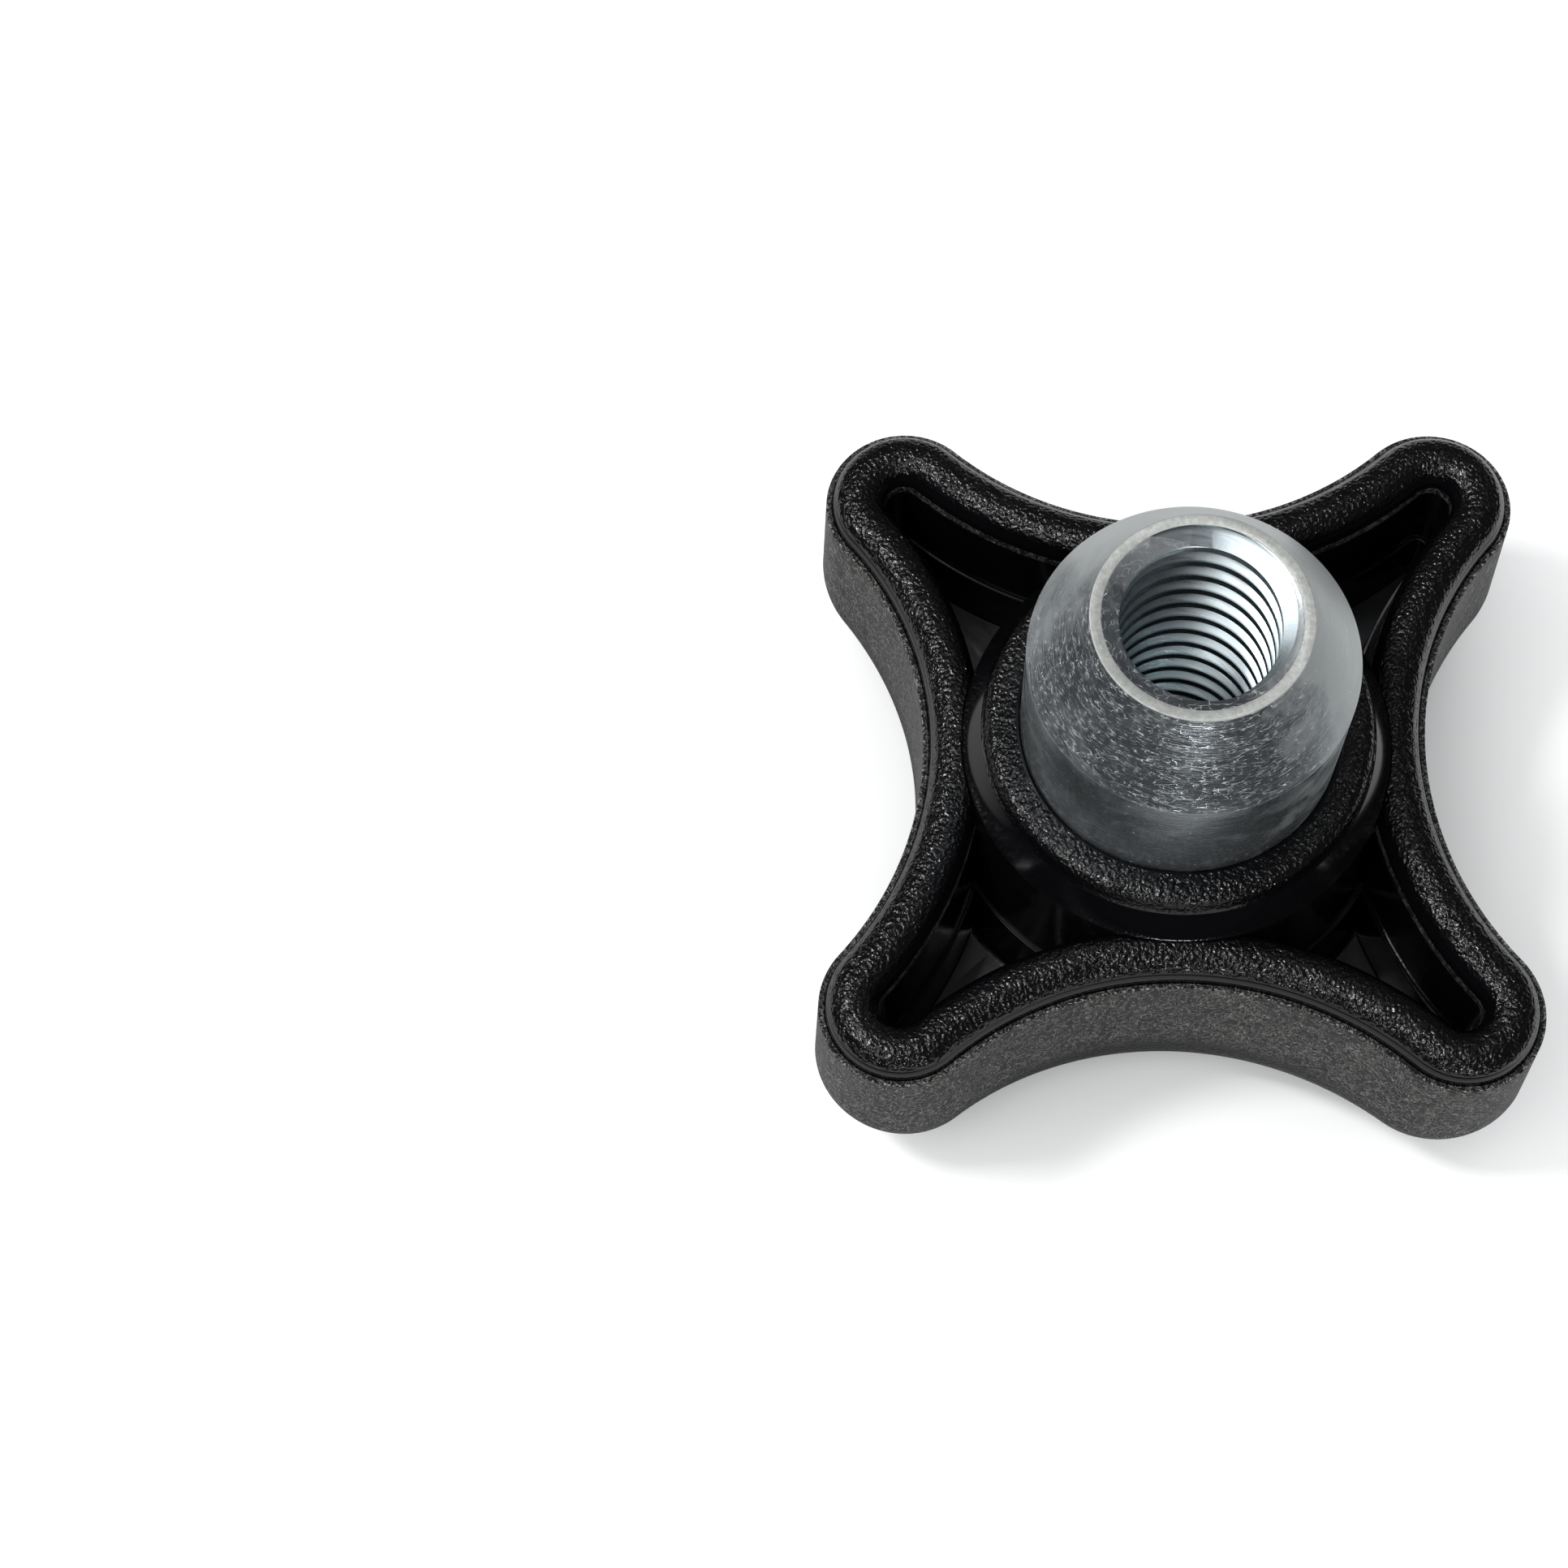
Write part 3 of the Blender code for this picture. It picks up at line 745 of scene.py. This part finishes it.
def nylon_finish(material, grain_mask, base, glint_colour, roughness, grain_height, gloss, streak):
    """Black glass-filled nylon. grain_mask(tree, mm) says where the eroded grain is."""
    tree, shader, mm = start_material(material)
    mask = grain_mask(tree, mm)
    # pebbles 0.3 mm apart: rounded cells, pushed about by a finer noise so that they run into squiggles
    wobble = node(tree, "ShaderNodeTexNoise", ("Vector", mm), ("Scale", 1 / 0.5), ("Detail", 1.0))
    push = node(tree, "ShaderNodeVectorMath", (0, wobble.outputs["Color"]), (1, (0.35, 0.35, 0.35)),
                (2, mm), operation="MULTIPLY_ADD")
    cells = node(tree, "ShaderNodeTexVoronoi", ("Vector", push), ("Scale", 1 / 0.3), ("Smoothness", 0.6),
                 feature="SMOOTH_F1")
    pebble = node(tree, "ShaderNodeTexNoise", ("Vector", push), ("Scale", 1 / 0.24), ("Detail", 1.0))
    height = node(tree, "ShaderNodeMath", (0, cells), (1, pebble), operation="ADD")
    if streak:
        # the mould opens along Z, so the wall's grain is drawn out into crossing fibres
        long_way = node(tree, "ShaderNodeMapping", ("Vector", mm), ("Scale", (1.25, 1.25, 0.75)),
                        ("Rotation", (0.5, 0.35, 0.0)))
        fibres = node(tree, "ShaderNodeTexNoise", ("Vector", long_way), ("Scale", 1.1), ("Detail", 3.0),
                      ("Roughness", 0.6), ("Distortion", 1.8))
        ridge = node(tree, "ShaderNodeMath", (0, fibres), (1, 0.5), operation="SUBTRACT")
        thin = node(tree, "ShaderNodeMath", (0, ridge), operation="ABSOLUTE")
        line = node(tree, "ShaderNodeMapRange", (0, thin), (1, 0.003), (2, 0.022), (3, 1.0), (4, 0.0))
        upright = node(tree, "ShaderNodeSeparateXYZ", ("Vector", mm))
        on_wall = node(tree, "ShaderNodeMapRange", (0, upright.outputs["Z"]), (1, 7.0), (2, 9.5), (3, 0.0),
                       (4, 1.0))
        fibre = node(tree, "ShaderNodeMath", (0, line), (1, on_wall),
                     operation="MULTIPLY").outputs["Value"]
    # painted glints: a few pale specks in the base colour stand in for sparkling highlights on the grain
    specks = node(tree, "ShaderNodeTexVoronoi", ("Vector", mm), ("Scale", 1 / 0.75), ("Randomness", 1.0))
    dot = node(tree, "ShaderNodeMapRange", (0, specks), (1, 0.05), (2, 0.09), (3, 1.0), (4, 0.0))
    cell = node(tree, "ShaderNodeSeparateColor", ("Color", specks.outputs["Color"]))
    chosen = node(tree, "ShaderNodeMapRange", (0, cell.outputs["Red"]), (1, 0.86), (2, 0.88), (3, 0.0),
                  (4, 1.0))
    painted_glint = node(tree, "ShaderNodeMath", (0, dot), (1, chosen), operation="MULTIPLY").outputs["Value"]
    painted_glint = node(tree, "ShaderNodeMath", (0, painted_glint), (1, mask), operation="MULTIPLY").outputs["Value"]
    cloud = node(tree, "ShaderNodeTexNoise", ("Vector", mm), ("Scale", 1 / 9.0), ("Detail", 3.0))
    shade = node(tree, "ShaderNodeMix", ("Factor", cloud), (6, linear(base[0])), (7, linear(base[1])),
                 data_type="RGBA")
    colour = shade.outputs[2]
    if streak:
        wall = node(tree, "ShaderNodeMix", ("Factor", on_wall), (6, colour), (7, linear(streak[0])),
                    data_type="RGBA")
        fibred = node(tree, "ShaderNodeMix", ("Factor", fibre), (6, wall.outputs[2]),
                      (7, linear(streak[1])), data_type="RGBA")
        # painted glints: pale flecks in places along the flash at the parting line stand in for light caught
        # on its edge
        flash_glint_noise = node(tree, "ShaderNodeTexNoise", ("Vector", mm), ("Scale", 1 / 0.2), ("Detail", 1.0))
        pale = node(tree, "ShaderNodeMapRange", (0, flash_glint_noise), (1, 0.57), (2, 0.64), (3, 0.0), (4, 0.8))
        on_flash = node(tree, "ShaderNodeMapRange", (0, upright.outputs["Z"]), (1, PARTING - 0.045),
                        (2, PARTING - 0.025), (3, 0.0), (4, 1.0))
        flash_glint = node(tree, "ShaderNodeMath", (0, pale), (1, on_flash), operation="MULTIPLY")
        edged = node(tree, "ShaderNodeMix", ("Factor", flash_glint), (6, fibred.outputs[2]),
                     (7, linear("8E8E8A")), data_type="RGBA")
        colour = edged.outputs[2]
    # the painted glints are mixed into the base colour here
    painted_glint_mix = node(tree, "ShaderNodeMix", ("Factor", painted_glint), (6, colour), (7, linear(glint_colour)),
                    data_type="RGBA")
    tree.links.new(painted_glint_mix.outputs[2], shader.inputs["Base Color"])
    rough_grain = node(tree, "ShaderNodeMapRange", (0, pebble), (1, 0.3), (2, 0.7), (3, roughness[1]),
                       (4, roughness[2]))
    rough = node(tree, "ShaderNodeMix", ("Factor", mask), (2, roughness[0]), (3, rough_grain),
                 data_type="FLOAT")
    tree.links.new(rough.outputs[0], shader.inputs["Roughness"])
    masked = node(tree, "ShaderNodeMath", (0, height), (1, mask), operation="MULTIPLY")
    bump = node(tree, "ShaderNodeBump", ("Height", masked), ("Strength", 1.0),
                ("Distance", grain_height * MM))
    tree.links.new(bump.outputs["Normal"], shader.inputs["Normal"])
    shader.inputs["IOR"].default_value = 1.53
    shader.inputs["Specular IOR Level"].default_value = gloss


def full(tree, mm):
    """A mask of one, slightly worn: the grain is a little flatter in broad patches."""
    wear = node(tree, "ShaderNodeTexNoise", ("Vector", mm), ("Scale", 1 / 14.0), ("Detail", 2.0))
    return node(tree, "ShaderNodeMapRange", (0, wear), (1, 0.35), (2, 0.6), (3, 0.75), (4, 1.0))


# the fourth value is the colour of the painted glints
nylon_finish(nylon["spark_eroded_nylon"], full, ("0B0B0C", "121213"), "8C8E92", (0.44, 0.34, 0.50), 0.07,
             0.22, ("181818", "747470"))

# %% [markdown]
# The rim and the hub share one cavity of the mould. Only its high places were eroded: the
# crest of the rim and the ring round the bush. Their flanks were left polished, and they
# read as deep, smooth black. A mask made of height and distance from the axis says where the
# grain is, so the borders stay crisp however fine the mesh is.

# %% Black nylon, rim and hub


def crest_and_ring(tree, mm):
    parts = node(tree, "ShaderNodeSeparateXYZ", ("Vector", mm))
    flat = node(tree, "ShaderNodeCombineXYZ", ("X", parts.outputs["X"]), ("Y", parts.outputs["Y"]))
    radius = node(tree, "ShaderNodeVectorMath", (0, flat), operation="LENGTH").outputs["Value"]
    crest = node(tree, "ShaderNodeMapRange", (0, parts.outputs["Z"]), (1, PARTING + 0.95),
                 (2, PARTING + 1.35), (3, 0.0), (4, 1.0))
    outside = node(tree, "ShaderNodeMapRange", (0, radius), (1, 14.5), (2, 14.7), (3, 0.0), (4, 1.0))
    rim = node(tree, "ShaderNodeMath", (0, crest), (1, outside), operation="MULTIPLY")
    ring = node(tree, "ShaderNodeMapRange", (0, radius), (1, 13.0), (2, 13.35), (3, 1.0), (4, 0.0))
    return node(tree, "ShaderNodeMath", (0, rim), (1, ring), operation="MAXIMUM").outputs["Value"]


# the fourth value is the colour of the painted glints
nylon_finish(nylon["moulded_nylon_rim"], crest_and_ring, ("050506", "08080A"), "9A9CA2",
             (0.12, 0.16, 0.26), 0.10, 0.45, None)

# %% [markdown]
# Inside the lobes the mould's cores were only ground, so the walls are glossy with faint
# drawing marks along the way the core pulls out. The floor of each pocket is flat, has a finer
# haze, and its colour is painted a little greyer as painted light, because it faces the light.

# %% Black nylon, pockets


def pocket_finish(material, base, roughness, haze):
    tree, shader, mm = start_material(material)
    # draw marks: 0.3 mm across, drawn out along Z
    drawn = node(tree, "ShaderNodeMapping", ("Vector", mm), ("Scale", (3.0, 3.0, 0.12)))
    marks = node(tree, "ShaderNodeTexNoise", ("Vector", drawn), ("Scale", 1.0), ("Detail", 2.0))
    cloud = node(tree, "ShaderNodeTexNoise", ("Vector", mm), ("Scale", 1 / 2.5), ("Detail", 4.0))
    shade = node(tree, "ShaderNodeMix", ("Factor", cloud), (6, linear(base[0])), (7, linear(base[1])),
                 data_type="RGBA")
    tree.links.new(shade.outputs[2], shader.inputs["Base Color"])
    rough = node(tree, "ShaderNodeMapRange", (0, cloud), (1, 0.35), (2, 0.65), (3, roughness[0]),
                 (4, roughness[1]))
    tree.links.new(rough.outputs["Result"], shader.inputs["Roughness"])
    bump = node(tree, "ShaderNodeBump", ("Height", marks), ("Strength", haze), ("Distance", 0.02 * MM))
    tree.links.new(bump.outputs["Normal"], shader.inputs["Normal"])
    shader.inputs["IOR"].default_value = 1.53
    shader.inputs["Specular IOR Level"].default_value = 0.4


pocket_finish(nylon["polished_nylon_pocket"], ("040405", "09090B"), (0.10, 0.22), 0.5)
# the floor's colours are painted lighter as painted light, because it faces the light
pocket_finish(nylon["polished_nylon_floor"], ("0C0D10", "181A1F"), (0.30, 0.48), 0.3)

# %% [markdown]
# ## Zinc-plated turned steel
#
# The bush was turned from free-cutting steel and zinc plated with a clear blue passivation.
# Zinc gives a slightly bluish grey metal, a turning tool leaves fine lines round the axis,
# and barrel plating knocks the parts together. One side took most of the knocks and mirrors
# more, under short bright curved scratches; its darker colour is painted shade, and the rest keeps an even
# satin with a lighter painted colour.
# Satin and scratches scatter light, so they are drawn as less metallic. The turning lines
# come from noise that is stretched round the axis and squeezed along height less radius,
# which moves steadily down the cone, the cylinder and across the ring.

# %% Steel


def steel_finish(material, tones, roughness, mirror, turning, scratches, worn_ring, drawn_out):
    tree, shader, mm = start_material(material)
    parts = node(tree, "ShaderNodeSeparateXYZ", ("Vector", mm))
    flat = node(tree, "ShaderNodeCombineXYZ", ("X", parts.outputs["X"]), ("Y", parts.outputs["Y"]))
    radius = node(tree, "ShaderNodeVectorMath", (0, flat), operation="LENGTH").outputs["Value"]
    along = node(tree, "ShaderNodeMath", (0, parts.outputs["Z"]), (1, radius),
                 operation="SUBTRACT").outputs["Value"]
    # turning lines about 0.12 mm apart and a few millimetres long
    packed = node(tree, "ShaderNodeMath", (0, along), (1, 1 / 0.12), operation="MULTIPLY")
    slow = node(tree, "ShaderNodeVectorMath", (0, flat), ("Scale", 0.30), operation="SCALE")
    slow_parts = node(tree, "ShaderNodeSeparateXYZ", ("Vector", slow))
    lathe = node(tree, "ShaderNodeCombineXYZ", ("X", slow_parts.outputs["X"]),
                 ("Y", slow_parts.outputs["Y"]), ("Z", packed))
    lines = node(tree, "ShaderNodeTexNoise", ("Vector", lathe), ("Scale", 1.0), ("Detail", 2.0))
    blotch = node(tree, "ShaderNodeTexNoise", ("Vector", mm), ("Scale", 1 / 3.2), ("Detail", 5.0),
                  ("Roughness", 0.6), ("Distortion", 0.4))
    # one side took the plating barrel's knocks and is painted darker, as painted shade; the rest keeps its
    # even satin, painted lighter
    outward = node(tree, "ShaderNodeVectorMath", (0, flat), operation="NORMALIZE")
    toward = node(tree, "ShaderNodeVectorMath", (0, outward), (1, (-0.5, -0.86, 0.0)),
                  operation="DOT_PRODUCT")
    side = node(tree, "ShaderNodeMath", (0, toward.outputs["Value"]), (1, blotch), operation="ADD")
    knocks_and_painted_shade = node(tree, "ShaderNodeMapRange", (0, side), (1, 0.35), (2, 1.05), (3, 0.0), (4, 1.0))
    # the countersink is marked all round, the cylinder hardly at all
    sink = node(tree, "ShaderNodeMapRange", (0, radius), (1, SINK_RADIUS - 0.1), (2, SINK_RADIUS + 0.05),
                (3, 0.45), (4, 0.0))
    knocks_and_painted_shade = node(tree, "ShaderNodeMath", (0, knocks_and_painted_shade), (1, sink), operation="MAXIMUM").outputs["Value"]
    cone = node(tree, "ShaderNodeMapRange", (0, parts.outputs["Z"]), (1, END_FACE - 6.9),
                (2, END_FACE - 6.2), (3, 0.15), (4, 1.0))
    # short curved scratches: contours of a noise that is drawn out round the axis
    spread = node(tree, "ShaderNodeMath", (0, along), (1, 3.2), operation="MULTIPLY")
    round_way = node(tree, "ShaderNodeCombineXYZ", ("X", parts.outputs["X"]), ("Y", parts.outputs["Y"]),
                     ("Z", spread))
    marks = None
    for shift, size in ((0.0, 0.8), (37.0, 1.25)):
        moved = node(tree, "ShaderNodeMapping", ("Vector", round_way), ("Location", (shift, shift, 0.0)))
        bent = node(tree, "ShaderNodeTexNoise", ("Vector", moved), ("Scale", size), ("Detail", 0.5),
                    ("Distortion", 0.5))
        middle = node(tree, "ShaderNodeMath", (0, bent), (1, 0.5), operation="SUBTRACT")
        near = node(tree, "ShaderNodeMath", (0, middle), operation="ABSOLUTE")
        thin = node(tree, "ShaderNodeMapRange", (0, near), (1, 0.003), (2, 0.016), (3, 1.0), (4, 0.0))
        marks = thin if marks is None else node(tree, "ShaderNodeMath", (0, marks), (1, thin),
                                                operation="MAXIMUM").outputs["Value"]
    # the scratches come and go in patches
    patch = node(tree, "ShaderNodeTexNoise", ("Vector", mm), ("Scale", 1 / 0.45), ("Detail", 1.0))
    here = node(tree, "ShaderNodeMapRange", (0, patch), (1, 0.34), (2, 0.66), (3, 0.0), (4, scratches))
    spared = node(tree, "ShaderNodeMapRange", (0, knocks_and_painted_shade), (1, 0.0), (2, 1.0), (3, 0.12), (4, 1.0))
    here = node(tree, "ShaderNodeMath", (0, here), (1, spared), operation="MULTIPLY").outputs["Value"]
    here = node(tree, "ShaderNodeMath", (0, here), (1, cone), operation="MULTIPLY").outputs["Value"]
    scratch = node(tree, "ShaderNodeMath", (0, marks), (1, here), operation="MULTIPLY").outputs["Value"]
    # pin-point dents
    dents = node(tree, "ShaderNodeTexVoronoi", ("Vector", mm), ("Scale", 1 / 0.7))
    dot = node(tree, "ShaderNodeMapRange", (0, dents), (1, 0.05), (2, 0.09), (3, scratches), (4, 0.0))
    cell = node(tree, "ShaderNodeSeparateColor", ("Color", dents.outputs["Color"]))
    few = node(tree, "ShaderNodeMapRange", (0, cell.outputs["Red"]), (1, 0.62), (2, 0.64), (3, 0.0),
               (4, 1.0))
    dot = node(tree, "ShaderNodeMath", (0, dot), (1, few), operation="MULTIPLY").outputs["Value"]
    scratch = node(tree, "ShaderNodeMath", (0, scratch), (1, dot), operation="MAXIMUM").outputs["Value"]
    ragged = node(tree, "ShaderNodeMapRange", (0, blotch), (1, 0.35), (2, 0.65), (3, -0.25), (4, 0.25))
    ragged = node(tree, "ShaderNodeMath", (0, knocks_and_painted_shade), (1, ragged), operation="ADD")
    satin_and_painted_light = node(tree, "ShaderNodeMapRange", (0, ragged), (1, 0.0), (2, 1.0), (3, 1.0), (4, 0.0))
    # painted shade: the knocked side takes the darker tone, the satin rest the lighter one
    tone = node(tree, "ShaderNodeMix", ("Factor", satin_and_painted_light), (6, linear(tones[0])), (7, linear(tones[1])),
                data_type="RGBA")
    bright = node(tree, "ShaderNodeMix", ("Factor", scratch), (6, tone.outputs[2]), (7, linear(tones[2])),
                  data_type="RGBA")
    colour = bright.outputs[2]
    rough = node(tree, "ShaderNodeMapRange", (0, satin_and_painted_light), (1, 0.0), (2, 1.0), (3, roughness[0]),
                 (4, roughness[1]))
    lines_rough = node(tree, "ShaderNodeMapRange", (0, lines), (1, 0.3), (2, 0.7), (3, -0.05), (4, 0.08))
    rough = node(tree, "ShaderNodeMath", (0, rough), (1, lines_rough), operation="ADD").outputs["Value"]
    # a scratch or a satin skin scatters light instead of mirroring it, so it is less metallic
    metallic = node(tree, "ShaderNodeMapRange", (0, satin_and_painted_light), (1, 0.0), (2, 1.0), (3, mirror[0]),
                    (4, mirror[1]))
    metallic = node(tree, "ShaderNodeMix", ("Factor", scratch), (2, metallic), (3, 0.25),
                    data_type="FLOAT").outputs[0]
    bumpy = node(tree, "ShaderNodeMath", (0, scratch), (1, -0.6), operation="MULTIPLY").outputs["Value"]
    bumpy = node(tree, "ShaderNodeMath", (0, lines), (1, bumpy), operation="ADD").outputs["Value"]
    if worn_ring:
        # the end ring was faced last and knocked about: pale, rough and nicked
        ring = node(tree, "ShaderNodeMapRange", (0, parts.outputs["Z"]), (1, END_FACE - 0.06),
                    (2, END_FACE - 0.02), (3, 0.0), (4, 1.0))
        nicks = node(tree, "ShaderNodeTexNoise", ("Vector", mm), ("Scale", 1 / 0.35), ("Detail", 3.0))
        worn = node(tree, "ShaderNodeMix", ("Factor", nicks), (6, linear("8E908E")), (7, linear("CFD0CC")),
                    data_type="RGBA")
        faced = node(tree, "ShaderNodeMix", ("Factor", ring), (6, colour), (7, worn.outputs[2]),
                     data_type="RGBA")
        colour = faced.outputs[2]
        rough = node(tree, "ShaderNodeMix", ("Factor", ring), (2, rough), (3, 0.55),
                     data_type="FLOAT").outputs[0]
        metallic = node(tree, "ShaderNodeMix", ("Factor", ring), (2, metallic), (3, 0.55),
                        data_type="FLOAT").outputs[0]
        dent = node(tree, "ShaderNodeMath", (0, nicks), (1, ring), operation="MULTIPLY")
        dent = node(tree, "ShaderNodeMath", (0, dent), (1, 3.0), operation="MULTIPLY")
        bumpy = node(tree, "ShaderNodeMath", (0, bumpy), (1, dent), operation="ADD").outputs["Value"]
    else:
        # painted shade: deeper than 2.2 mm below the end face the drilled land between two turns is painted
        # darker for the dark it mirrors, and the root is painted dark as the shadow under each turn
        deep = node(tree, "ShaderNodeMapRange", (0, parts.outputs["Z"]), (1, END_FACE - 2.6),
                    (2, END_FACE - 2.2), (3, 1.0), (4, 0.0))
        crest = node(tree, "ShaderNodeMapRange", (0, radius), (1, MINOR + 0.04), (2, MINOR + 0.12),
                     (3, 1.0), (4, 0.0))
        land = node(tree, "ShaderNodeMath", (0, crest), (1, deep), operation="MULTIPLY").outputs["Value"]
        root = node(tree, "ShaderNodeMapRange", (0, radius), (1, MAJOR - 0.25), (2, MAJOR - 0.05),
                    (3, 0.0), (4, 0.6))
        land_painted_darker = node(tree, "ShaderNodeMix", ("Factor", land), (6, colour), (7, linear("7F8B8F")),
                      data_type="RGBA")
        root_painted_shade = node(tree, "ShaderNodeMix", ("Factor", root), (6, land_painted_darker.outputs[2]),
                      (7, linear("2E3437")), data_type="RGBA")
        colour = root_painted_shade.outputs[2]
    tree.links.new(colour, shader.inputs["Base Color"])
    tree.links.new(rough, shader.inputs["Roughness"])
    tree.links.new(metallic, shader.inputs["Metallic"])
    bump = node(tree, "ShaderNodeBump", ("Height", bumpy), ("Strength", 1.0), ("Distance", turning * MM))
    tree.links.new(bump.outputs["Normal"], shader.inputs["Normal"])
    # the grooves run round the axis, so highlights are drawn out across them
    shader.inputs["Anisotropic"].default_value = drawn_out
    round_axis = node(tree, "ShaderNodeTangent", direction_type="RADIAL", axis="Z")
    tree.links.new(round_axis.outputs["Tangent"], shader.inputs["Tangent"])


steel_finish(steel["zinc_plated_turned_steel"], ("949A9E", "B2B7B8", "F2F3F3"), (0.22, 0.38), (0.92, 0.72),
             0.012, 0.75, True, 0.5)
steel_finish(steel["zinc_plated_cut_thread"], ("B2BEC3", "C4CFD3", "EFF3F4"), (0.26, 0.31), (0.95, 0.90),
             0.004, 0.1, False, 0.0)

# %% [markdown]
# ## Finish the pieces
#
# Both pieces are shaded smooth with edges kept sharp where the surface really turns. They
# ride on the model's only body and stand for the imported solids.

# %% Shade, ride and replace
for piece, cad_node, slot_name, sharp in ((head, "knob_head", "head", 40),
                                          (bush, "threaded_bush", "bush", 32)):
    bm = bmesh.new()
    bm.from_mesh(piece.data)
    bmesh.ops.remove_doubles(bm, verts=bm.verts, dist=0.0005 * MM)
    bmesh.ops.dissolve_degenerate(bm, dist=0.0005 * MM, edges=bm.edges)
    open_edges = sum(1 for e in bm.edges if len(e.link_faces) != 2)
    volume = bm.calc_volume(signed=True) / MM ** 3
    bm.to_mesh(piece.data)
    bm.free()
    piece.data.shade_smooth()
    piece.data.set_sharp_from_angle(angle=math.radians(sharp))
    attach(piece, "root")
    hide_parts(cad_node)
    piece.data.calc_loop_triangles()
    print(piece.name, len(piece.data.loop_triangles), "triangles, open edges", open_edges, "volume mm3",
          round(volume))
